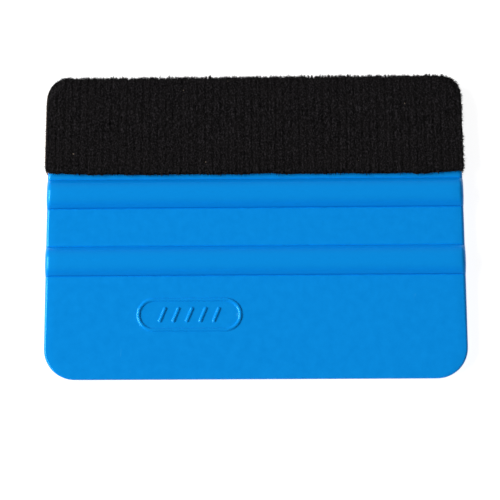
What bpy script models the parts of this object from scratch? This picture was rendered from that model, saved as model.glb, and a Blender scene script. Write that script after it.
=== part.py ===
"""Squeegee applicator: a moulded plastic card with a felt strip folded over one long edge.

X runs along the long edges, Y from the hard edge to the felt edge, and Z through the thickness.
The card lies on the crests of its two back ridges at Z = 0, and the middle of the whole outline is at
X = Y = 0. Front and back of the card are alike, apart from the raised mark on the front.
"""
import math

import bmesh
import bpy

MM = 0.001

# Card
CARD_WIDTH = 100.0 * MM
CARD_HEIGHT = 73.0 * MM
CARD_CORNER = 7.0 * MM           # radius of the four corners, seen from the front
PLATE_THICKNESS = 2.4 * MM       # between the ridges
EDGE_THICKNESS = 1.1 * MM        # at the two long edges, which the plate tapers down to
EDGE_ROUNDING = 0.35 * MM        # where the long edges turn from face to end
SIDE_ROUNDING = 0.9 * MM         # where the short edges turn from face to side

# Finger ridges, two on each face, measured from the middle of the card
RIDGE_MIDDLES = (8.15 * MM, -8.4 * MM)
RIDGE_WIDTH = 7.4 * MM
RIDGE_HEIGHT = 1.65 * MM
CREST_FLAT = 1.2 * MM            # flat strip along the top of each ridge

# Raised mark: a capsule outline around slanting bars
MARK_LENGTH = 25.0 * MM
MARK_HEIGHT = 8.0 * MM
MARK_STROKE = 0.9 * MM
MARK_RELIEF = 0.2 * MM
MARK_ROOT = 0.3 * MM             # how far the strokes reach down into the plate
MARK_X = -15.6 * MM
MARK_Y = -21.2 * MM              # from the middle of the card
MARK_BARS = 5
MARK_BAR_PITCH = 3.2 * MM
MARK_BAR_HEIGHT = 3.6 * MM
MARK_BAR_SLANT = 1.6 * MM

# Felt strip, folded over the upper long edge
FELT_THICKNESS = 0.9 * MM
FELT_OVERHANG = 0.5 * MM         # past each short side of the card
FELT_LOWER_EDGE = 12.95 * MM     # from the middle of the card
FELT_CORNER_X = 4.0 * MM         # the trimmed corners are a little taller than wide
FELT_CORNER_Y = 5.5 * MM
FELT_NOSE = 2.0 * MM             # length of the rounded fold, along Y
FELT_NOSE_FLAT = 0.8 * MM        # thickness of the flat strip along the fold
FELT_SIDE_ROUNDING = 0.25 * MM

# Adhesive film that bonds the felt to the card
FILM_THICKNESS = 0.15 * MM
FILM_INSET = 0.5 * MM            # back from the card's sides and the felt's lower edge
CONTACT_GAP = 0.3 * MM           # between two pieces that rest on each other

ARC_STEPS = 8                    # segments in a quarter turn of an outline
FINE_STEPS = 3                   # segments in a quarter turn of a small rounding
RIDGE_STEPS = 6                  # segments up each flank of a ridge

HALF_WIDTH = CARD_WIDTH / 2
HALF_HEIGHT = CARD_HEIGHT / 2
FILM_STANDOFF = CONTACT_GAP + FILM_THICKNESS
FELT_STANDOFF = FILM_STANDOFF + CONTACT_GAP
FELT_TOP = HALF_HEIGHT + FELT_STANDOFF + FELT_THICKNESS
CREST_HALF = PLATE_THICKNESS / 2 + RIDGE_HEIGHT
TAPER_START = max(abs(middle) for middle in RIDGE_MIDDLES) + RIDGE_WIDTH / 2
TAPER_SLOPE = (PLATE_THICKNESS - EDGE_THICKNESS) / 2 / (HALF_HEIGHT - TAPER_START)
RIDGE_FLANK = (RIDGE_WIDTH - CREST_FLAT) / 2


def srgb(red, green, blue):
    """A linear colour from 8-bit sRGB values."""
    def linear(value):
        value /= 255
        return value / 12.92 if value <= 0.04045 else ((value + 0.055) / 1.055) ** 2.4
    return (linear(red), linear(green), linear(blue), 1.0)


def material(name, colour, roughness):
    made = bpy.data.materials.new(name)
    made.use_nodes = True
    shader = made.node_tree.nodes["Principled BSDF"]
    shader.inputs["Base Color"].default_value = colour
    shader.inputs["Roughness"].default_value = roughness
    shader.inputs["Metallic"].default_value = 0.0
    made.diffuse_color = colour
    return made


def quarter_turn(depth, reach_x, reach_y):
    """How far an outline has opened out at a given depth below its end, on a quarter ellipse."""
    if depth >= reach_y:
        return reach_x
    return reach_x * math.sqrt(max(0.0, 1 - (1 - depth / reach_y) ** 2))


def arc_depths(reach, steps):
    """Depths that divide a quarter turn into equal angles, from its end inwards."""
    return [reach * (1 - math.cos(math.pi / 2 * step / steps)) for step in range(steps + 1)]


def plate_half(y):
    """Half the plate's thickness, without ridges."""
    past_ridges = max(0.0, abs(y) - TAPER_START)
    return PLATE_THICKNESS / 2 - TAPER_SLOPE * past_ridges


def ridge_rise(y):
    """Height of a ridge above the plate: a flat crest between two parabolic flanks."""
    from_crest = min(abs(y - middle) for middle in RIDGE_MIDDLES) - CREST_FLAT / 2
    down = min(1.0, max(0.0, from_crest / RIDGE_FLANK))
    return RIDGE_HEIGHT * (1 - down ** 2)


def card_half_width(y):
    depth = HALF_HEIGHT - abs(y)
    return HALF_WIDTH - CARD_CORNER + quarter_turn(depth, CARD_CORNER, CARD_CORNER)


def card_half_thickness(y):
    depth = HALF_HEIGHT - abs(y)
    rounding_left = EDGE_ROUNDING - quarter_turn(depth, EDGE_ROUNDING, EDGE_ROUNDING)
    return plate_half(y) + ridge_rise(y) - rounding_left


def card_stations():
    """Y of each section of the card: the edges, the corners, and both flanks of each ridge."""
    stations = {0.0}
    corner_past_rounding = [depth for depth in arc_depths(CARD_CORNER, ARC_STEPS) if depth > EDGE_ROUNDING]
    for depth in arc_depths(EDGE_ROUNDING, FINE_STEPS) + corner_past_rounding:
        stations.update((HALF_HEIGHT - depth, depth - HALF_HEIGHT))
    for step in range(RIDGE_STEPS + 1):
        reach = CREST_FLAT / 2 + RIDGE_FLANK * step / RIDGE_STEPS
        for middle in RIDGE_MIDDLES:
            stations.update((middle - reach, middle + reach))
    return sorted(stations)


def section(half_width, half_thickness, rounding):
    """One closed section in X and Z: a rectangle whose corners are rounded."""
    rounding = min(rounding, 0.8 * half_thickness)
    points = []
    for quarter in range(4):
        side_x = (1, -1, -1, 1)[quarter]
        side_z = (1, 1, -1, -1)[quarter]
        for step in range(FINE_STEPS + 1):
            angle = math.pi / 2 * (quarter + step / FINE_STEPS)
            x = side_x * (half_width - rounding) + rounding * math.cos(angle)
            z = side_z * (half_thickness - rounding) + rounding * math.sin(angle)
            points.append((x, z))
    return points


def loft(name, stations, half_width, half_thickness, rounding):
    """A closed body through one section at each Y station."""
    shape = bmesh.new()
    rings = []
    for y in stations:
        outline = section(half_width(y), half_thickness(y), rounding)
        rings.append([shape.verts.new((x, y, z)) for x, z in outline])
    for near, far in zip(rings, rings[1:]):
        for index in range(len(near)):
            following = (index + 1) % len(near)
            shape.faces.new((near[index], near[following], far[following], far[index]))
    shape.faces.new(rings[0])
    shape.faces.new(rings[-1])
    return finish(shape, name)


def finish(shape, name):
    """Turn a bmesh into an object with its faces pointing out."""
    bmesh.ops.recalc_face_normals(shape, faces=shape.faces)
    mesh = bpy.data.meshes.new(name)
    shape.to_mesh(mesh)
    shape.free()
    mesh.shade_smooth()
    mesh.set_sharp_from_angle(angle=math.radians(35))
    made = bpy.data.objects.new(name, mesh)
    bpy.context.scene.collection.objects.link(made)
    return made


def hide_cutter(cutter):
    cutter.hide_render = True
    cutter.display_type = "WIRE"


def combine(target, operand, operation):
    modifier = target.modifiers.new(operand.name, "BOOLEAN")
    modifier.operation = operation
    modifier.solver = "EXACT"
    modifier.object = operand
    hide_cutter(operand)


def wrap_half_thickness(standoff, nose, nose_flat):
    """Half-thickness of a layer that stands off the plate and closes in a rounded fold."""
    top = HALF_HEIGHT + standoff

    def half_thickness(y):
        full = plate_half(min(y, HALF_HEIGHT)) + standoff
        closing = full - nose_flat / 2
        return nose_flat / 2 + quarter_turn(top - y, closing, nose)
    return half_thickness


def wrap_stations(bottom, top, nose, corner):
    """Y of each section of a layer: its lower edge, its trimmed corner and its rounded fold."""
    corner_past_nose = [depth for depth in arc_depths(corner, ARC_STEPS) if depth > nose]
    return [bottom] + sorted(top - depth for depth in arc_depths(nose, ARC_STEPS) + corner_past_nose)


def prism(shape, outline, low, high):
    """An upright prism on a closed outline."""
    floor = [shape.verts.new((x, y, low)) for x, y in outline]
    roof = [shape.verts.new((x, y, high)) for x, y in outline]
    for index in range(len(outline)):
        following = (index + 1) % len(outline)
        shape.faces.new((floor[index], floor[following], roof[following], roof[index]))
    shape.faces.new(floor)
    shape.faces.new(roof)


def capsule(length, height):
    """Outline of a bar with round ends, centred on the origin."""
    radius = height / 2
    points = []
    for step in range(2 * ARC_STEPS + 2):
        side = 1 if step <= ARC_STEPS else -1
        turn = step if step <= ARC_STEPS else step - 1
        angle = math.pi * turn / ARC_STEPS - math.pi / 2
        x = side * (length / 2 - radius) + radius * math.cos(angle)
        points.append((x, radius * math.sin(angle)))
    return points


def raised_mark():
    """The capsule outline and its slanting bars, standing on the tapered plate."""
    ring_shape = bmesh.new()
    prism(ring_shape, capsule(MARK_LENGTH, MARK_HEIGHT), -MARK_ROOT, MARK_RELIEF)
    mark = finish(ring_shape, "raised_mark")
    inner_shape = bmesh.new()
    inner = capsule(MARK_LENGTH - 2 * MARK_STROKE, MARK_HEIGHT - 2 * MARK_STROKE)
    prism(inner_shape, inner, -2 * MARK_ROOT, 2 * MARK_RELIEF)
    combine(mark, finish(inner_shape, "mark_inside"), "DIFFERENCE")
    bar_shape = bmesh.new()
    for bar in range(MARK_BARS):
        middle = (bar - (MARK_BARS - 1) / 2) * MARK_BAR_PITCH
        low = middle - MARK_BAR_SLANT / 2
        high = middle + MARK_BAR_SLANT / 2
        half = MARK_STROKE / 2
        rise = MARK_BAR_HEIGHT / 2
        outline = ((low - half, -rise), (low + half, -rise), (high + half, rise), (high - half, rise))
        prism(bar_shape, outline, -MARK_ROOT, MARK_RELIEF)
    return mark, finish(bar_shape, "mark_bars")


def squeegee_card():
    card = loft("squeegee_card", card_stations(), card_half_width, card_half_thickness, SIDE_ROUNDING)
    for relief in raised_mark():
        relief.location = (MARK_X, MARK_Y, plate_half(MARK_Y))
        relief.rotation_euler.x = math.atan(TAPER_SLOPE)
        combine(card, relief, "UNION")
    card.data.materials.append(material("card_plastic", srgb(10, 137, 220), 0.42))
    return card


def adhesive_film():
    def half_width(y):
        return card_half_width(min(y, HALF_HEIGHT)) - FILM_INSET

    def slot_half_width(y):
        return CARD_WIDTH

    bottom = FELT_LOWER_EDGE + FILM_INSET
    outer = wrap_half_thickness(FILM_STANDOFF, EDGE_THICKNESS / 2, FILM_THICKNESS)
    stations = wrap_stations(bottom, HALF_HEIGHT + FILM_STANDOFF, EDGE_THICKNESS / 2, CARD_CORNER)
    film = loft("adhesive_film", stations, half_width, outer, 0.0)
    slot = wrap_half_thickness(CONTACT_GAP, EDGE_THICKNESS / 2, FILM_THICKNESS)
    slot_bottom = bottom - CARD_CORNER
    slot_stations = wrap_stations(slot_bottom, HALF_HEIGHT + CONTACT_GAP, EDGE_THICKNESS / 2, CARD_CORNER)
    combine(film, loft("film_slot", slot_stations, slot_half_width, slot, 0.0), "DIFFERENCE")
    film.data.materials.append(material("adhesive_clear", srgb(186, 158, 118), 0.3))
    return film


def felt_strip():
    def half_width(y):
        side = HALF_WIDTH + FELT_OVERHANG - FELT_CORNER_X
        return side + quarter_turn(FELT_TOP - y, FELT_CORNER_X, FELT_CORNER_Y)

    def slot_half_width(y):
        return CARD_WIDTH

    outer = wrap_half_thickness(FELT_STANDOFF + FELT_THICKNESS, FELT_NOSE, FELT_NOSE_FLAT)
    stations = wrap_stations(FELT_LOWER_EDGE, FELT_TOP, FELT_NOSE, FELT_CORNER_Y)
    felt = loft("felt_strip", stations, half_width, outer, FELT_SIDE_ROUNDING)
    slot = wrap_half_thickness(FELT_STANDOFF, EDGE_THICKNESS, FILM_THICKNESS)
    slot_bottom = FELT_LOWER_EDGE - CARD_CORNER
    slot_stations = wrap_stations(slot_bottom, HALF_HEIGHT + FELT_STANDOFF, EDGE_THICKNESS, CARD_CORNER)
    combine(felt, loft("felt_slot", slot_stations, slot_half_width, slot, 0.0), "DIFFERENCE")
    felt.data.materials.append(material("felt_black", srgb(24, 23, 24), 0.95))
    return felt


def main():
    for old in list(bpy.data.objects):
        bpy.data.objects.remove(old)
    centre = bpy.data.objects.new("card_centre", None)
    centre.location = (0.0, (HALF_HEIGHT - FELT_TOP) / 2, CREST_HALF)
    bpy.context.scene.collection.objects.link(centre)
    squeegee_card()
    adhesive_film()
    felt_strip()
    for made in bpy.data.objects:
        if made is not centre:
            made.parent = centre


main()
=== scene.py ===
"""Squeegee applicator: the looks of its plastic card, adhesive film and folded felt strip.

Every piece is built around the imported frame: X along the long edges, Y towards the felt edge, Z up out
of the front face. Front and back are mirror images in Z, apart from the raised mark on the card's front
and the felt's small roughness.
"""
import math

import bpy
import numpy as np
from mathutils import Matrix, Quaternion, Vector, noise


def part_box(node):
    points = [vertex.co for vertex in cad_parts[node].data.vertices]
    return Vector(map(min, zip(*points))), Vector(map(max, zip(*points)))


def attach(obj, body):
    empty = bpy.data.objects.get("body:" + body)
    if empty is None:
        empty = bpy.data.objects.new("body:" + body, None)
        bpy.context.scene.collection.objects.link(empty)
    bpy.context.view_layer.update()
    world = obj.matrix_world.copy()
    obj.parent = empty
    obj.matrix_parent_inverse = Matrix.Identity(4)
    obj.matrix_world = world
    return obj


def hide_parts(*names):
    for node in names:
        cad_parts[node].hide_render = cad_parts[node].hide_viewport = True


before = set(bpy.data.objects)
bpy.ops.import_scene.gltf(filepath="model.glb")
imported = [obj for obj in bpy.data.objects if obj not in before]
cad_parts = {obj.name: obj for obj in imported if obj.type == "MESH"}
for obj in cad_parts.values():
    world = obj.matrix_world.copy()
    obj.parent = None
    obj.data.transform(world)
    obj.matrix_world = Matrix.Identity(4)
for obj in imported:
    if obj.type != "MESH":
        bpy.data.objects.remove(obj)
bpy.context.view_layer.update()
MM = 0.001

# The card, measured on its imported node
CARD_LOW, CARD_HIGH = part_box("squeegee_card")
CARD_HALF_X = (CARD_HIGH.x - CARD_LOW.x) / 2
CARD_HALF_Y = (CARD_HIGH.y - CARD_LOW.y) / 2
MID_Y = (CARD_HIGH.y + CARD_LOW.y) / 2
MID_Z = (CARD_HIGH.z + CARD_LOW.z) / 2
CREST_HALF = (CARD_HIGH.z - CARD_LOW.z) / 2
PLATE_HALF = 1.2 * MM
RIDGE_HEIGHT = CREST_HALF - PLATE_HALF
EDGE_HALF = 0.55 * MM
CARD_CORNER = 7.4 * MM
TAPER_START = 12.1 * MM          # from here to either long edge the plate thins
RIDGE_MIDDLES = (8.3 * MM, -8.25 * MM)
RIDGE_HALF = 3.6 * MM
RIDGE_POWER = 2.5                # how square the ridges' humps are
CREASE_DEPTH = 0.15 * MM         # of the fine groove along each foot of a ridge
CREASE_HALF = 0.2 * MM
CREASE_MIDDLE = RIDGE_HALF       # its distance from the ridge's middle
EDGE_ROUNDING = 0.35 * MM
SIDE_ROUNDING = 0.9 * MM
PARTING_LINE = 0.04 * MM         # height of the mould's parting line, round the sides
SIDE_BOW = 0.13 * MM             # how far the short edges bulge at mid-height
EDGE_BOW = 0.17 * MM             # how far the lower edge sags, a little more to the right
CARD_STEP_X, CARD_STEP_Y = 2.0 * MM, 1.1 * MM        # mesh spacing on the plain plate
BACK_STEP = 0.04                 # across the back, as a share of its half-width
RIDGE_STEP = 0.22 * MM
CORNER_ROWS, SIDE_POINTS = 15, 13                    # on the rounding of the corners and of the sides

# The raised mark on the front: a capsule outline around slanting bars
MARK_X, MARK_Y = -15.6 * MM, -21.2 * MM
MARK_LENGTH, MARK_HEIGHT = 25.0 * MM, 8.0 * MM
MARK_STROKE = 0.85 * MM
MARK_RELIEF = 0.26 * MM
MARK_BARS = 5
MARK_BAR_PITCH = 3.2 * MM
MARK_BAR_HALF = 1.4 * MM
MARK_BAR_SLANT = 0.42            # sideways run of a bar for each unit of height
MARK_MARGIN = 0.2 * MM           # of fine mesh around the mark
MARK_STEP_X, MARK_STEP_Y = 0.12 * MM, 0.13 * MM

# The felt strip, folded round the card's upper edge over the adhesive film
FELT_LOW, FELT_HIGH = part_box("felt_strip")
FELT_BOTTOM = FELT_LOW.y - MID_Y
FELT_HALF_X = (FELT_HIGH.x - FELT_LOW.x) / 2
FELT_ASKEW = (0.19 * MM, -0.17 * MM)                # how much wider it was cut, left then right
FELT_THICKNESS = 1.0 * MM
FELT_ROUNDING = 0.45 * MM        # where the cut edges turn from face to side
EDGE_SHARE, RELIEF_SHARE = 0.55, 0.4                # of the thickness and the relief, kept at a cut edge
FELT_CORNERS = ((4.0 * MM, 5.7 * MM), (4.0 * MM, 4.9 * MM))   # width and height, left then right
FELT_LOWER_CORNERS = (1.7 * MM, 0.7 * MM)           # radii, left then right
FELT_END_RISE = 0.42 * MM        # how far the lower edge curves up at its ends
RISE_START, FRAY_START = 0.76, 0.85                 # shares of the half-width, and of the way to the edge
FELT_TRIM = 0.1 * MM             # how much shorter it was cut
FELT_MIDDLE = 36.0 * MM          # half the width whose columns stay straight
CORNER_PINCH = (0.1 * MM, 1.5 * MM)                 # distances past the card where the flaps close up
FELT_COLUMN, FELT_ROW = 0.175 * MM, 0.31 * MM
RIB_PAIR = 1.903 * MM            # two knitted ribs and the groove beside them
RIB_WAVES = ((1, -1.4, 0.6), (2, 0.17, 0.43))       # times round in a pair, shift, share of the height
RIB_RELIEF = 0.04 * MM
TUFT_RISE, TUFT_TILT = 0.16 * MM, 0.1 * MM          # how much thicker the fold is, and more so to the right
TUFT_FADE = (0.85, 0.94)         # shares of the half-width where the fold's tufts fade

# Smooth noise on the felt: its height, its grain across and along the felt, and a seed
LOOPS = ((0.19 * MM, 0.4 * MM, 0.5 * MM, 5.1), (0.1 * MM, 0.25 * MM, 0.4 * MM, 8.9))
RIB_SWAY = (0.12 * MM, 9 * MM, 7 * MM, 1.7)
SWELL = (0.05 * MM, 6 * MM, 5 * MM, 4.4)
TUFTS = (0.36 * MM, 0.27 * MM, 3 * MM, 2.6)
EDGE_FRAYS = ((0.5 * MM, 0.5 * MM, 1.0, 6.2), (0.22 * MM, 5 * MM, 1.0, 9.4))
SIDE_FRAYS = ((0.04 * MM, 1.0, 0.8 * MM, 3.3), (0.2 * MM, 1.0, 0.8 * MM, 3.3))          # left then right

# The adhesive film
FILM_THICKNESS = 0.15 * MM
FILM_FACES = (0.93, 0.1)         # heights of its outer and inner face, as a share of its thickness
FILM_SHOWING = 0.2 * MM          # past the felt's left side
FILM_SHORTER = 0.8 * MM          # than the felt, at each lower edge
FILM_STEP = 1.0 * MM

# The fold, from the card's edge through the film to the felt
FOLD_Y = CARD_HALF_Y - EDGE_HALF                     # axis of the fold
FOLD_QUARTER = math.pi / 2 * (EDGE_HALF + FILM_THICKNESS + FELT_THICKNESS / 2)
FELT_TOP = FOLD_Y + EDGE_HALF + FILM_THICKNESS + FELT_THICKNESS
FELT_REACH = FOLD_QUARTER + FOLD_Y - FELT_BOTTOM     # from the fold to either lower edge, along the felt

# The felt's fibres: nap that lies on each face, and fuzz that stands out of the fold and the cut edges
NAP_COUNT = 7000                 # on each face
NAP_LENGTHS, NAP_RADII = (0.4, 1.1), (0.018, 0.032)  # in millimetres
NAP_START = 0.3 * FOLD_QUARTER   # along the felt from the fold's apex
NAP_SPREAD = 0.8                 # radians either side of the ribs
NAP_ROOTS, NAP_MIDDLES, NAP_TIPS = (-0.04, 0.01), (0.03, 0.12), (-0.03, 0.12)   # millimetres off the felt
NAP_BEND = 0.05 * MM
FOLD_FIBRES, SIDE_FIBRES, EDGE_FIBRES = 12400, 1600, 2600
TUFT_PITCH = RIB_PAIR / 6        # of the tufts in the fold
TUFT_WIDTH, TUFT_LENGTH = 0.07 * MM, 0.36 * FOLD_QUARTER
TUFT_HEIGHTS = (0.4, 1.4)        # least and greatest share of a fibre's own length
FOLD_LENGTHS, EDGE_LENGTHS = (8.0, 0.048), (2.0, 0.1)                # gamma shape, and scale in millimetres
EDGE_LEAST = 0.25 * MM           # shortest fibre of the cut edges
FOLD_ROOT = -0.12 * MM           # from the felt's face
FOLD_JITTER, SIDE_JITTER, LOWER_JITTER = 0.1 * MM, 0.09 * MM, (0.12 * MM, 0.04 * MM, 0.03 * MM)
SIDE_SHARES = (0.12, 0.88)       # of the fuzz on the left and the right side
SIDE_LIFT = 0.35 * MM            # how far the fuzz on the sides points up, near the fold
FUZZ_RADII = (0.024, 0.052)      # in millimetres
FUZZ_BEND = 0.07 * MM
FUZZ_CLEARANCE = 0.25 * MM       # between the fuzz and the surface that the object lies on

# Camera, aimed from in front of and above the card
CAMERA_AZIMUTH = math.radians(2.79)
CAMERA_ELEVATION = math.radians(77.09)
CAMERA_ROLL = math.radians(-3.1)
CAMERA_DISTANCE = 380.2 * MM
CAMERA_TARGET = Vector((-1.23, -6.27, 2.85)) * MM
CAMERA_LENS, CAMERA_SENSOR = 114.3, 36.0             # in millimetres

# Light and floor
SKY_LOW, SKY_HIGH = 0.26, 0.09   # brightness of the surroundings near the horizon and overhead
SKY_TURN = (0.55, 0.95)          # heights between which it changes, as a share of straight up
FLOOR_HALF = 1.6                 # metres
FLOOR_GREYS = ((0.36, 0.36, 0.36, 1.0), (0.38, 0.38, 0.38, 1.0))
FLOOR_GLOW = 0.91
WHITE = (1.0, 1.0, 1.0, 1.0)

# Materials: colours are 8-bit sRGB
NOISE_RANGE = (0.3, 0.7)         # where nearly all of a noise texture's values lie
CARD_BLUES = ((6, 134, 218), (10, 141, 225))         # the two ends of the mottle
# The crest colour is a painted highlight, a lighter blue on the ridges' crests.
CREST_HIGHLIGHT_BLUE = (9, 139, 223)
# The slope colour is painted shade, a bluer tone where the surface tilts.
SLOPE_SHADE_BLUE = (1, 135, 228)       # where the surface tilts
# The side colour is painted shade, a darker blue where the surface stands upright.
SIDE_SHADE_BLUE = (0, 104, 198)        # where it stands upright
SCUFF_BLUE = (70, 176, 238)
FILM_TANS = ((92, 64, 30), (116, 86, 48))
FELT_DARKS = ((2, 2, 2), (49, 46, 49))
FELT_PATCH = (22, 20, 20)
FELT_LINT = (120, 108, 96)

rng = np.random.default_rng(20)


# ---------------------------------------------------------------- shapes shared by the pieces

def smooth(low, high, value):
    """0 below low, 1 above high, and a smooth step between."""
    share = np.clip((value - low) / (high - low), 0.0, 1.0)
    return share * share * (3 - 2 * share)


def quarter_turn(depth, reach_x, reach_y):
    """How far an outline has opened out at a depth below its end, on a quarter ellipse."""
    share = np.clip(1 - np.asarray(depth, float) / reach_y, 0.0, 1.0)
    return reach_x * np.sqrt(1 - share ** 2)


def plate_half(y):
    """Half the plate's thickness without ridges, at a distance y from the card's middle."""
    share = np.clip((np.abs(y) - TAPER_START) / (CARD_HALF_Y - TAPER_START), 0.0, 1.0)
    return PLATE_HALF + (EDGE_HALF - PLATE_HALF) * share


def mesh_object(name, points, faces):
    """A smooth-shaded object, linked to the scene."""
    mesh = bpy.data.meshes.new(name)
    mesh.from_pydata(points, [], faces)
    mesh.shade_smooth()
    made = bpy.data.objects.new(name, mesh)
    bpy.context.scene.collection.objects.link(made)
    return made


def quads(rows, columns, closed=False):
    """Faces between successive rows of a grid whose points are numbered row by row."""
    row = np.arange(rows - 1)[:, None] * columns
    column = np.arange(columns if closed else columns - 1)[None, :]
    following = (column + 1) % columns
    corners = [row + column, row + following, row + columns + following, row + columns + column]
    return np.stack(corners, -1).reshape(-1, 4)


# ---------------------------------------------------------------- the card

def ridge_rise(y):
    """Height of the ridges above the plate, with a fine groove along each foot."""
    rise = 0.0
    for middle in RIDGE_MIDDLES:
        across = np.abs(y - middle)
        rise = rise + RIDGE_HEIGHT * (1 - np.clip(across / RIDGE_HALF, 0.0, 1.0) ** RIDGE_POWER)
        rise = rise - CREASE_DEPTH * np.clip(1 - np.abs(across - CREASE_MIDDLE) / CREASE_HALF, 0.0, 1.0)
    return rise


def mark_relief(x, y):
    """Height of the raised mark above the plate, with rounded strokes."""
    x = x - MARK_X
    y = y - MARK_Y
    radius = MARK_HEIGHT / 2 - MARK_STROKE / 2
    straight = MARK_LENGTH / 2 - MARK_HEIGHT / 2
    from_axis = np.hypot(np.maximum(np.abs(x) - straight, 0.0), y)
    distance = np.abs(from_axis - radius)
    for bar in range(MARK_BARS):
        centre = (bar - (MARK_BARS - 1) / 2) * MARK_BAR_PITCH
        along = np.clip(y, -MARK_BAR_HALF, MARK_BAR_HALF)
        sideways = (x - centre - MARK_BAR_SLANT * along) / math.hypot(1.0, MARK_BAR_SLANT)
        distance = np.minimum(distance, np.hypot(sideways, y - along))
    share = np.clip(distance / (MARK_STROKE / 2), 0.0, 1.0)
    return MARK_RELIEF * (1 - share ** 3) ** 0.9


def even(low, high, step):
    """Stations from low to high, about a step apart."""
    return np.linspace(low, high, max(2, int(round((high - low) / step)) + 1))


def merged(stations, least):
    """Sorted stations without near repeats."""
    kept = []
    for value in sorted(stations):
        if not kept or value - kept[-1] > least:
            kept.append(value)
    return np.array(kept)


def card_rows():
    """Y of each row: close together at the edges, the ridges and the mark."""
    angles = np.linspace(0.0, math.pi / 2, CORNER_ROWS)
    depths = [EDGE_ROUNDING * (1 - np.cos(angles[::2])), CARD_CORNER * (1 - np.cos(angles))]
    end = CARD_HALF_Y - np.concatenate(depths)
    rows = [end, -end, even(-CARD_HALF_Y, CARD_HALF_Y, CARD_STEP_Y)]
    for middle in RIDGE_MIDDLES:
        rows.append(even(middle - RIDGE_HALF, middle + RIDGE_HALF, RIDGE_STEP))
        for crease in (middle - CREASE_MIDDLE, middle + CREASE_MIDDLE):
            rows.append(crease + CREASE_HALF * even(-1.5, 1.5, 0.25))
    reach = MARK_HEIGHT / 2 + MARK_MARGIN
    rows.append(even(MARK_Y - reach, MARK_Y + reach, MARK_STEP_Y))
    inner = merged(np.concatenate(rows), 0.035 * MM)
    inner[0], inner[-1] = -CARD_HALF_Y, CARD_HALF_Y
    return inner


def card_columns():
    """X of each front point as a share of the flat half-width, close together at the mark."""
    flat = CARD_HALF_X - SIDE_ROUNDING
    reach = MARK_LENGTH / 2 + MARK_MARGIN
    mark = even(MARK_X - reach, MARK_X + reach, MARK_STEP_X)
    return merged(np.concatenate([even(-flat, flat, CARD_STEP_X), mark]), 0.1 * MM) / flat


def build_card():
    """The card as rings of points round its cross-section, one for each row."""
    rows = card_rows()
    depth = CARD_HALF_Y - np.abs(rows)
    half_x = CARD_HALF_X - CARD_CORNER + quarter_turn(depth, CARD_CORNER, CARD_CORNER)
    half_x = half_x + SIDE_BOW * (1 - (rows / CARD_HALF_Y) ** 2)
    edge_loss = EDGE_ROUNDING - quarter_turn(depth, EDGE_ROUNDING, EDGE_ROUNDING)
    half_z = plate_half(rows) + ridge_rise(rows) - edge_loss
    rounding = np.minimum(SIDE_ROUNDING * (1 + 0.5 * ridge_rise(rows) / RIDGE_HEIGHT), 0.8 * half_z)
    front = card_columns()
    back = even(-1.0, 1.0, BACK_STEP)
    side_angles = np.linspace(math.pi / 2, -math.pi / 2, SIDE_POINTS)[1:-1]
    points = []
    for y, reach, high, radius in zip(rows, half_x, half_z, rounding):
        flat = reach - radius
        front_z = high + mark_relief(front * flat, np.full(len(front), y))
        points += [(x * flat, y, z) for x, z in zip(front, front_z)]
        side = []
        for angle in side_angles:
            straight = (high - radius) * np.clip(math.sin(angle) * 4, -1.0, 1.0)
            ridge = PARTING_LINE if abs(angle) < 0.01 else 0.0
            side.append((flat + radius * math.cos(angle) + ridge, y, straight + radius * math.sin(angle)))
        points += side
        points += [(x * flat, y, -high) for x in back[::-1]]
        points += [(-x, y, z) for x, y, z in side[::-1]]
    around = len(front) + len(back) + 2 * len(side_angles)
    faces = quads(len(rows), around, closed=True)[:, ::-1].tolist()
    faces.append(list(range(around)))
    last = (len(rows) - 1) * around
    faces.append(list(range(last + around - 1, last - 1, -1)))
    points = np.array(points)
    sag = EDGE_BOW * (0.8 + 0.3 * points[:, 0] / CARD_HALF_X)
    points[:, 1] += MID_Y - sag * smooth(0.0, CARD_HALF_Y, -points[:, 1])
    points[:, 2] += MID_Z
    return mesh_object("card_body", points.tolist(), faces)


# ---------------------------------------------------------------- the felt and its adhesive

def roughness(x, t, height, size_x, size_t, seed):
    """Smooth noise over the felt, of a height either way, with grains of the given size."""
    places = zip((x / size_x).ravel().tolist(), (t / size_t).ravel().tolist())
    return height * np.array([noise.noise((a, b, seed)) for a, b in places]).reshape(np.shape(x))


def past_card(x, y):
    """How far a point lies outside the card's rounded outline, below the fold's axis."""
    over_x = np.abs(x) - (CARD_HALF_X - CARD_CORNER)
    over_y = np.minimum(y, FOLD_Y) - (CARD_HALF_Y - CARD_CORNER)
    corner = np.hypot(np.maximum(over_x, 0.0), np.maximum(over_y, 0.0)) - CARD_CORNER
    return np.maximum(corner, 0.0)


def felt_half_width(x, y):
    """Half the felt's width on a point's side: upper corners trimmed, lower ones rounded."""
    halves = []
    for (width, height), lower, askew in zip(FELT_CORNERS, FELT_LOWER_CORNERS, FELT_ASKEW):
        half = FELT_HALF_X + askew - width + quarter_turn(FELT_TOP - y, width, height)
        halves.append(half - lower + quarter_turn(y - FELT_BOTTOM + 0.05 * MM, lower, lower))
    return np.where(x < 0, halves[0], halves[1])


def fold_turn(t):
    """The angle from the fold's apex, for a distance t from it along the felt."""
    return np.clip(np.abs(t) / FOLD_QUARTER, 0.0, 1.0) * math.pi / 2


def wrapped(x, t, layer):
    """Points of a layer folded round the card. layer is its height above the film's underside."""
    turn = fold_turn(t)
    y_flat = FOLD_Y - np.maximum(np.abs(t) - FOLD_QUARTER, 0.0)
    pinch = smooth(*CORNER_PINCH, past_card(x, y_flat))
    y = y_flat + (plate_half(y_flat) + layer) * np.cos(turn)
    z = np.sign(t) * (plate_half(y_flat) * (1 - pinch) + layer) * np.sin(turn)
    return np.stack([x, y + MID_Y, z + MID_Z], -1)


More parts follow.
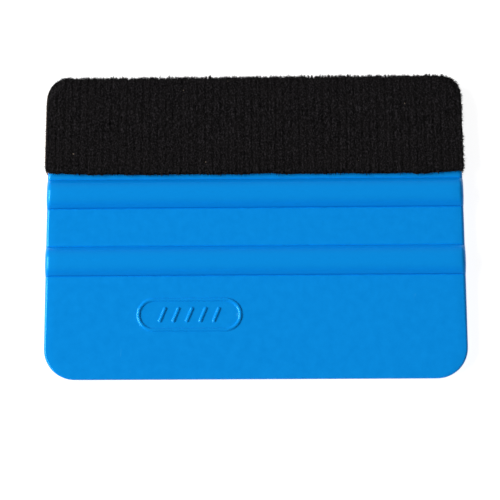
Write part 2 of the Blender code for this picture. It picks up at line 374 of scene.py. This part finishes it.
def felt_columns(x, t):
    """Draws the outer columns in where the corners are trimmed, and roughens the cut sides."""
    y = FOLD_Y - np.maximum(np.abs(t) - FOLD_QUARTER, 0.0)
    y = y + (FELT_TOP - FOLD_Y) * np.cos(fold_turn(t))
    left, right = [roughness(np.sign(x), t, *fray) for fray in SIDE_FRAYS]
    reach = felt_half_width(x, y) + np.where(x < 0, left, right)
    drawn = FELT_MIDDLE + (np.abs(x) - FELT_MIDDLE) * (reach - FELT_MIDDLE) / (FELT_HALF_X - FELT_MIDDLE)
    return np.where(np.abs(x) > FELT_MIDDLE, np.sign(x) * drawn, x), reach


def rib_profile(x):
    """Two ribs and a groove, from -1 to 1, repeated across the felt."""
    turn = 2 * math.pi * x / RIB_PAIR
    return sum(size * np.cos(times * turn + shift) for times, shift, size in RIB_WAVES)


def felt_height(x, t, reach):
    """Height of the felt's outer face above the film: ribs, loops, tufts and rounded cut edges."""
    inside = np.minimum(reach - np.abs(x), FELT_REACH - np.abs(t))
    rounding = quarter_turn(inside, 1.0, FELT_ROUNDING)
    ribs = RIB_RELIEF * rib_profile(x + roughness(x, t, *RIB_SWAY))
    loops = sum(roughness(x, t, *grain) for grain in LOOPS)
    fold = np.cos(fold_turn(t)) ** 2 * (1 - 0.7 * smooth(*TUFT_FADE, np.abs(x) / FELT_HALF_X))
    tufts = fold * (TUFT_RISE + TUFT_TILT * x / FELT_HALF_X + roughness(x, t, *TUFTS))
    felt = FELT_THICKNESS * (EDGE_SHARE + (1 - EDGE_SHARE) * rounding)
    relief = (ribs + loops + tufts) * (RELIEF_SHARE + (1 - RELIEF_SHARE) * rounding)
    return felt + relief + roughness(x, t, *SWELL)


def frayed(x, t):
    """Distances along the felt, with its lower edges roughened and curved up at their ends."""
    face = np.sign(t)
    fray = sum(roughness(x, face, *grain) for grain in EDGE_FRAYS)
    rise = FELT_TRIM + FELT_END_RISE * smooth(RISE_START, 1.0, np.abs(x) / FELT_HALF_X)
    return t + (fray - face * rise) * smooth(FRAY_START, 1.0, np.abs(t) / FELT_REACH)


def build_felt():
    """A fine outer face and a coarse inner one, joined along the four cut edges."""
    columns = even(-FELT_HALF_X, FELT_HALF_X, FELT_COLUMN)
    rows = even(-FELT_REACH, FELT_REACH, FELT_ROW)
    x, t = np.meshgrid(columns, rows)
    x, reach = felt_columns(x, t)
    outer = wrapped(x, frayed(x, t), FILM_THICKNESS + felt_height(x, t, reach))
    fold_rows = np.linspace(-FOLD_QUARTER, FOLD_QUARTER, 9)
    inner_rows = even(-FELT_REACH, -FOLD_QUARTER, 4.5 * MM)[:-1]
    inner_rows = np.concatenate([inner_rows, fold_rows, -inner_rows[::-1]])
    side = even(FELT_MIDDLE, FELT_HALF_X, 0.9 * MM)
    middle = even(-FELT_MIDDLE, FELT_MIDDLE, 4 * MM)[1:-1]
    inner_columns = np.concatenate([-side[::-1], middle, side])
    x, t = np.meshgrid(inner_columns, inner_rows)
    x, _ = felt_columns(x, t)
    inner = wrapped(x, frayed(x, t), np.full(x.shape, FILM_THICKNESS))
    across, down = len(columns), len(rows)
    inner_across, inner_down = len(inner_columns), len(inner_rows)
    first = across * down
    last = first + inner_across * (inner_down - 1)
    right, inner_right = across - 1, first + inner_across - 1
    faces = quads(down, across).tolist() + (quads(inner_down, inner_across)[:, ::-1] + first).tolist()
    faces += zipped(rows, 0, across, inner_rows, first, inner_across)
    faces += zipped(rows, right, across, inner_rows, inner_right, inner_across, flipped=True)
    faces += zipped(columns, 0, 1, inner_columns, first, 1, flipped=True)
    faces += zipped(columns, across * (down - 1), 1, inner_columns, last, 1)
    points = np.concatenate([outer.reshape(-1, 3), inner.reshape(-1, 3)])
    return mesh_object("felt_wrap", points.tolist(), faces)


def zipped(places, start, stride, other_places, other_start, other_stride, flipped=False):
    """Triangles between two rows of points that share their ends but are spaced differently."""
    faces = []
    i = j = 0
    while i < len(places) - 1 or j < len(other_places) - 1:
        here, there = start + i * stride, other_start + j * other_stride
        at_end = j == len(other_places) - 1
        if at_end or (i < len(places) - 1 and places[i + 1] <= other_places[j + 1]):
            face = (here, here + stride, there)
            i += 1
        else:
            face = (here, there + other_stride, there)
            j += 1
        faces.append(face[::-1] if flipped else face)
    return faces


def build_film():
    """The adhesive under the felt, of the same outline, drawn a little to the left."""
    columns = even(-FELT_HALF_X, FELT_HALF_X, FILM_STEP)
    flap = even(-FELT_REACH + FILM_SHORTER, -FOLD_QUARTER, 0.8 * MM)[:-1]
    rows = np.concatenate([flap, even(-FOLD_QUARTER, 0, 0.25 * MM)])
    rows = np.concatenate([rows, -rows[:-1][::-1]])
    x, t = np.meshgrid(columns, rows)
    x, _ = felt_columns(x, t)
    x = x - FILM_SHOWING * smooth(1.5 * MM, 3 * MM, FELT_REACH - np.abs(t))
    outer, inner = [wrapped(x, t, np.full(x.shape, share * FILM_THICKNESS)) for share in FILM_FACES]
    count, depth = len(columns), len(rows)
    first = count * depth
    faces = quads(depth, count).tolist() + (quads(depth, count)[:, ::-1] + first).tolist()
    grid = np.arange(first).reshape(depth, count)
    border = [*grid[0], *grid[1:, -1], *grid[-1, -2::-1], *grid[-2:0:-1, 0]]
    border = [int(corner) for corner in border]
    for here, there in zip(border, border[1:] + border[:1]):
        faces.append((there, here, first + here, first + there))
    points = np.concatenate([outer.reshape(-1, 3), inner.reshape(-1, 3)])
    return mesh_object("adhesive_layer", points.tolist(), faces)


def spindles(name, roots, tips, bends, radii):
    """Thin fibres with pointed ends, each bent sideways along its length."""
    count = len(roots)
    along = tips - roots
    length = np.linalg.norm(along, axis=1, keepdims=True)
    axis = along / length
    side = np.cross(axis, rng.normal(size=(count, 3)))
    side /= np.linalg.norm(side, axis=1, keepdims=True)
    other = np.cross(axis, side)
    points = [roots]
    for share in (0.3, 0.7):
        middle = roots + along * share + bends * (1 - (2 * share - 1) ** 2)
        for corner in range(3):
            angle = 2 * math.pi * corner / 3
            points.append(middle + radii[:, None] * (side * math.cos(angle) + other * math.sin(angle)))
    points.append(tips)
    points = np.stack(points, 1).reshape(-1, 3)
    base = np.arange(count)[:, None] * 8
    triangles, squares = [], []
    for corner in range(3):
        following = (corner + 1) % 3
        triangles.append(base + [0, 1 + following, 1 + corner])
        squares.append(base + [1 + corner, 1 + following, 4 + following, 4 + corner])
        triangles.append(base + [4 + corner, 4 + following, 7])
    faces = np.concatenate(triangles).tolist() + np.concatenate(squares).tolist()
    return mesh_object(name, points.tolist(), faces)


def felt_surface(x, t, lift):
    """Points at a height above the felt's outer face."""
    x, reach = felt_columns(x, t)
    return wrapped(x, frayed(x, t), FILM_THICKNESS + felt_height(x, t, reach) + lift)


def build_nap(name, count, low_t, high_t):
    """Short fibres that lie on the felt, mostly along its ribs."""
    x = rng.uniform(-FELT_HALF_X + 0.3 * MM, FELT_HALF_X - 0.3 * MM, count)
    t = rng.uniform(low_t, high_t, count)
    length = rng.uniform(*NAP_LENGTHS, count) * MM
    angle = rng.normal(0.0, NAP_SPREAD, count)
    x_tip = np.clip(x + length * np.sin(angle), -FELT_HALF_X, FELT_HALF_X)
    t_tip = np.clip(t + length * np.cos(angle), low_t, high_t)
    roots = felt_surface(x, t, rng.uniform(*NAP_ROOTS, count) * MM)
    tips = felt_surface(x_tip, t_tip, rng.uniform(*NAP_TIPS, count) * MM)
    middle = felt_surface((x + x_tip) / 2, (t + t_tip) / 2, rng.uniform(*NAP_MIDDLES, count) * MM)
    bends = middle - (roots + tips) / 2 + rng.normal(0.0, NAP_BEND, (count, 3))
    return spindles(name, roots, tips, bends, rng.uniform(*NAP_RADII, count) * MM)


def fold_fuzz(count):
    """Roots and tips of the fibres that stand out of the fold in small tufts."""
    tuft = rng.uniform(-FELT_HALF_X, FELT_HALF_X, count)
    tuft = np.round(tuft / TUFT_PITCH).astype(int)
    height = rng.uniform(*TUFT_HEIGHTS, tuft.max() - tuft.min() + 1)[tuft - tuft.min()]
    x = np.clip(tuft * TUFT_PITCH + rng.normal(0.0, TUFT_WIDTH, count), -FELT_HALF_X, FELT_HALF_X)
    t = rng.normal(0.0, TUFT_LENGTH, count)
    roots = felt_surface(x, t, FOLD_ROOT)
    tips = felt_surface(x, t * 1.1, height * rng.gamma(*FOLD_LENGTHS, count) * MM)
    return roots, tips + rng.normal(0.0, FOLD_JITTER, (count, 3))


def side_fuzz(count):
    """Roots and tips of the fibres along the cut sides."""
    side = rng.choice([-1.0, 1.0], count, p=SIDE_SHARES)
    t = rng.uniform(-FELT_REACH, FELT_REACH, count)
    roots = felt_surface(side * (FELT_HALF_X - 0.25 * MM), t, -rng.uniform(0.05, 0.6, count) * MM)
    reach = np.zeros((count, 3))
    reach[:, 0] = side * (EDGE_LEAST + rng.gamma(*EDGE_LENGTHS, count) * MM)
    reach[:, 1] = SIDE_LIFT * smooth(28 * MM, FELT_TOP, roots[:, 1] - MID_Y)
    return roots, roots + reach + rng.normal(0.0, SIDE_JITTER, (count, 3))


def lower_fuzz(count):
    """Roots and tips of the fibres along the lower edges of both flaps."""
    front = rng.choice([-1.0, 1.0], count)
    x = rng.uniform(-FELT_HALF_X + 0.2 * MM, FELT_HALF_X - 0.2 * MM, count)
    roots = felt_surface(x, front * (FELT_REACH - 0.2 * MM), -rng.uniform(0.05, 0.4, count) * MM)
    reach = np.zeros((count, 3))
    reach[:, 1] = -EDGE_LEAST - rng.gamma(*EDGE_LENGTHS, count) * MM
    reach[:, 2] = -front * rng.uniform(0.0, 0.12, count) * MM
    return roots, roots + reach + rng.normal(0.0, 1.0, (count, 3)) * LOWER_JITTER


def build_fuzz():
    """Loose fibres that stand out of the fold and the cut edges, kept off the surface below."""
    parts = [fold_fuzz(FOLD_FIBRES), side_fuzz(SIDE_FIBRES), lower_fuzz(EDGE_FIBRES)]
    roots = np.concatenate([part[0] for part in parts])
    tips = np.concatenate([part[1] for part in parts])
    tips[:, 2] = np.maximum(tips[:, 2], FUZZ_CLEARANCE)
    bends = rng.normal(0.0, FUZZ_BEND, roots.shape)
    return spindles("felt_fuzz", roots, tips, bends, rng.uniform(*FUZZ_RADII, len(roots)) * MM)


# ---------------------------------------------------------------- materials

def srgb(red, green, blue):
    """A linear colour from 8-bit sRGB values."""
    channels = [value / 255 for value in (red, green, blue)]
    linear = [c / 12.92 if c <= 0.04045 else ((c + 0.055) / 1.055) ** 2.4 for c in channels]
    return (*linear, 1.0)


class Nodes:
    """Short calls for building one material's node tree."""

    def __init__(self, name):
        self.material = bpy.data.materials.new(name)
        self.material.use_nodes = True
        self.tree = self.material.node_tree
        self.shader = self.tree.nodes["Principled BSDF"]
        self.place = self.tree.nodes.new("ShaderNodeTexCoord").outputs["Object"]

    def add(self, kind, inputs=None, **settings):
        node = self.tree.nodes.new(kind)
        for key, value in settings.items():
            setattr(node, key, value)
        for key, value in (inputs or {}).items():
            self.put(node.inputs[key], value)
        return node

    def put(self, socket, value):
        if isinstance(value, bpy.types.NodeSocket):
            self.tree.links.new(value, socket)
        else:
            socket.default_value = value

    def math(self, operation, first, second=0.0):
        node = self.add("ShaderNodeMath", operation=operation)
        self.put(node.inputs[0], first)
        self.put(node.inputs[1], second)
        return node.outputs[0]

    def part(self, vector, axis):
        return self.add("ShaderNodeSeparateXYZ", {0: vector}).outputs[axis]

    def scaled(self, factors):
        """The place on the object, stretched by a factor along each axis."""
        node = self.add("ShaderNodeVectorMath", {0: self.place, 1: factors}, operation="MULTIPLY")
        return node.outputs[0]

    def noise(self, scale, detail=3.0, vector=None, roughness=0.5):
        inputs = {"Vector": vector or self.place, "Scale": scale, "Detail": detail, "Roughness": roughness}
        return self.add("ShaderNodeTexNoise", inputs).outputs["Fac"]

    def ribs(self):
        """The same two ribs and groove, from -1 to 1, that the felt's relief has."""
        turn = self.math("MULTIPLY", self.part(self.place, "X"), 2 * math.pi / RIB_PAIR)
        waves = []
        for times, shift, size in RIB_WAVES:
            angle = self.math("ADD", self.math("MULTIPLY", turn, times), shift)
            waves.append(self.math("MULTIPLY", self.math("COSINE", angle), size))
        return self.math("ADD", *waves)

    def spread(self, value, low, high, to_low=0.0, to_high=1.0):
        """A value mapped from one range onto another, and held at its ends."""
        inputs = {"Value": value, "From Min": low, "From Max": high, "To Min": to_low, "To Max": to_high}
        return self.add("ShaderNodeMapRange", inputs).outputs["Result"]

    def mix(self, share, first, second):
        node = self.add("ShaderNodeMix", data_type="RGBA")
        self.put(node.inputs[0], share)
        self.put(node.inputs[6], first)
        self.put(node.inputs[7], second)
        return node.outputs[2]

    def bump(self, height, distance, strength=1.0, normal=None):
        node = self.add("ShaderNodeBump", {"Height": height, "Distance": distance, "Strength": strength})
        if normal is not None:
            self.put(node.inputs["Normal"], normal)
        return node.outputs["Normal"]

    def finish(self, colour, roughness, normal, **fixed):
        self.put(self.shader.inputs["Base Color"], colour)
        self.put(self.shader.inputs["Roughness"], roughness)
        self.put(self.shader.inputs["Normal"], normal)
        for key, value in fixed.items():
            self.shader.inputs[key.replace("_", " ")].default_value = value
        return self.material


def card_colour(m, facing):
    """Mottled blue, with a painted highlight on the crests, painted shade on the slopes and upright sides,
    and a few pale scuffs. facing is 1 where flat.
    """
    mottle = m.spread(m.noise(scale=480.0, detail=5.0, roughness=0.65), *NOISE_RANGE)
    colour = m.mix(mottle, *[srgb(*blue) for blue in CARD_BLUES])
    from_middle = m.math("ABSOLUTE", m.math("SUBTRACT", m.part(m.place, "Z"), MID_Z))
    # Painted highlight: a lighter blue towards the ridges' crests.
    crest_highlight = m.spread(from_middle, CREST_HALF - 0.5 * MM, CREST_HALF)
    colour = m.mix(crest_highlight, colour, srgb(*CREST_HIGHLIGHT_BLUE))
    # Painted shade: a bluer tone where the surface tilts.
    colour = m.mix(m.spread(facing, 0.8, 0.95, 1.0, 0.0), colour, srgb(*SLOPE_SHADE_BLUE))
    # Painted shade: a darker blue where the surface stands upright.
    colour = m.mix(m.spread(facing, 0.2, 0.65, 1.0, 0.0), colour, srgb(*SIDE_SHADE_BLUE))
    scuffs = m.noise(scale=700.0, detail=1.0, vector=m.scaled((1.0, 0.35, 1.0)))
    return m.mix(m.spread(scuffs, 0.80, 0.86, 0.0, 0.35), colour, srgb(*SCUFF_BLUE))


def card_material():
    """Glossy plastic that is rougher on its slopes, over slight waves and a fine grain."""
    m = Nodes("card_plastic")
    facing = m.math("ABSOLUTE", m.part(m.add("ShaderNodeTexCoord").outputs["Normal"], "Z"))
    colour = card_colour(m, facing)
    waves = m.noise(scale=420.0, detail=2.0)
    uneven = m.spread(waves, *NOISE_RANGE, -0.02, 0.03)
    roughness = m.math("ADD", m.spread(facing, 0.75, 0.96, 0.3, 0.09), uneven)
    grain = m.noise(scale=5200.0, detail=2.0)
    normal = m.bump(waves, distance=0.012 * MM, strength=0.5)
    normal = m.bump(grain, distance=0.002 * MM, strength=0.5, normal=normal)
    tint = (0.15, 0.85, 1.0, 1.0)
    return m.finish(colour, roughness, normal, Specular_IOR_Level=0.45, Specular_Tint=tint)


def film_material():
    """Streaky tan adhesive."""
    m = Nodes("adhesive_clear")
    streaks = m.noise(scale=900.0, detail=2.0)
    colour = m.mix(m.spread(streaks, *NOISE_RANGE), *[srgb(*tan) for tan in FILM_TANS])
    return m.finish(colour, m.spread(streaks, *NOISE_RANGE, 0.25, 0.4), m.bump(streaks, distance=0.01 * MM))


def felt_material():
    """Near-black felt with light loops and fibres, painted shade in its rib grooves and painted light on
    the rib tops, dusty patches and a few specks of lint.
    """
    m = Nodes("felt_black")
    loops = m.noise(scale=3000.0, detail=2.0, vector=m.scaled((1.0, 0.66, 0.66)))
    fibres = m.noise(scale=7000.0, detail=2.0, vector=m.scaled((1.0, 0.5, 0.5)))
    patches = m.noise(scale=260.0)
    tone = m.math("ADD", m.math("MULTIPLY", loops, 0.62), m.math("MULTIPLY", fibres, 0.38))
    # Painted shade and light: the tone is darker in the ribs' grooves and lighter on their tops.
    tone = m.math("ADD", tone, m.math("MULTIPLY", m.ribs(), 0.03))
    tone = m.math("POWER", m.spread(tone, 0.4, 0.675), 1.8)
    colour = m.mix(tone, *[srgb(*dark) for dark in FELT_DARKS])
    colour = m.mix(m.spread(patches, *NOISE_RANGE, 0.0, 0.35), colour, srgb(*FELT_PATCH))
    lint = m.noise(scale=1300.0, detail=0.0)
    colour = m.mix(m.spread(lint, 0.89, 0.91, 0.0, 0.8), colour, srgb(*FELT_LINT))
    normal = m.bump(loops, distance=0.12 * MM, strength=0.7)
    normal = m.bump(fibres, distance=0.05 * MM, strength=0.7, normal=normal)
    return m.finish(colour, 1.0, normal, Specular_IOR_Level=0.05, Sheen_Weight=0.035, Sheen_Roughness=0.5)


# ---------------------------------------------------------------- stage, light and camera

def build_stage():
    """A pale floor that glows enough to look white to the camera."""
    corners = [(FLOOR_HALF * x, FLOOR_HALF * y, 0.0) for x, y in ((-1, -1), (1, -1), (1, 1), (-1, 1))]
    floor = mesh_object("floor", corners, [(0, 1, 2, 3)])
    m = Nodes("floor_pale")
    shade = m.mix(m.noise(scale=3.0), *FLOOR_GREYS)
    normal = m.bump(m.noise(scale=900.0), distance=0.01 * MM, strength=0.2)
    glow = {"Emission_Color": WHITE, "Emission_Strength": FLOOR_GLOW}
    floor.data.materials.append(m.finish(shade, 0.9, normal, Specular_IOR_Level=0.1, **glow))


def direction(azimuth, elevation):
    """Unit vector at angles in radians. Azimuth 0 is in front of the card, a quarter turn its right."""
    across = math.cos(elevation)
    return Vector((math.sin(azimuth) * across, -math.cos(azimuth) * across, math.sin(elevation)))


def area_light(name, power, size, azimuth, elevation, distance):
    """A soft box that looks at the frame's origin, with its angles in degrees."""
    data = bpy.data.lights.new(name, "AREA")
    data.shape = "RECTANGLE"
    data.size, data.size_y = size
    data.energy = power
    made = bpy.data.objects.new(name, data)
    back = direction(math.radians(azimuth), math.radians(elevation))
    made.location = back * distance
    made.rotation_mode = "QUATERNION"
    made.rotation_quaternion = back.to_track_quat("Z", "Y")
    bpy.context.scene.collection.objects.link(made)


def build_light():
    """A large soft box on the left, and surroundings that darken overhead."""
    world = bpy.data.worlds.new("studio")
    bpy.context.scene.world = world
    world.use_nodes = True
    tree = world.node_tree
    height = tree.nodes.new("ShaderNodeSeparateXYZ")
    tree.links.new(tree.nodes.new("ShaderNodeTexCoord").outputs["Generated"], height.inputs[0])
    fall = tree.nodes.new("ShaderNodeMapRange")
    limits = {"From Min": SKY_TURN[0], "From Max": SKY_TURN[1], "To Min": SKY_LOW, "To Max": SKY_HIGH}
    for key, value in limits.items():
        fall.inputs[key].default_value = value
    tree.links.new(height.outputs["Z"], fall.inputs["Value"])
    tree.links.new(fall.outputs["Result"], tree.nodes["Background"].inputs["Strength"])
    tree.nodes["Background"].inputs["Color"].default_value = WHITE
    area_light("left_box", power=118.0, size=(2.2, 1.5), azimuth=-90, elevation=33, distance=2.6)
    bpy.context.scene.view_settings.view_transform = "Standard"


def build_camera():
    """A camera that looks back along a line from its target, turned a little about that line."""
    data = bpy.data.cameras.new("camera")
    data.lens = CAMERA_LENS
    data.sensor_width = CAMERA_SENSOR
    data.clip_start, data.clip_end = 0.01, 10.0
    camera = bpy.data.objects.new("camera", data)
    back = direction(CAMERA_AZIMUTH, CAMERA_ELEVATION)
    camera.location = CAMERA_TARGET + back * CAMERA_DISTANCE
    camera.rotation_mode = "QUATERNION"
    aim = (-back).to_track_quat("-Z", "Y")
    aim.rotate(Quaternion(back, CAMERA_ROLL))
    camera.rotation_quaternion = aim
    bpy.context.scene.collection.objects.link(camera)
    bpy.context.scene.camera = camera


# ---------------------------------------------------------------- assembly

def main():
    build_camera()
    card = build_card()
    card.data.materials.append(card_material())
    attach(card, "root")
    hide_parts("squeegee_card")
    film = build_film()
    film.data.materials.append(film_material())
    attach(film, "root")
    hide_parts("adhesive_film")
    felt = build_felt()
    front_nap = build_nap("felt_nap_front", NAP_COUNT, NAP_START, FELT_REACH)
    back_nap = build_nap("felt_nap_back", NAP_COUNT, -FELT_REACH, -NAP_START)
    fuzz = build_fuzz()
    shade = felt_material()
    for piece in (felt, front_nap, back_nap, fuzz):
        piece.data.materials.append(shade)
        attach(piece, "root")
    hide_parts("felt_strip")
    build_stage()
    build_light()


main()
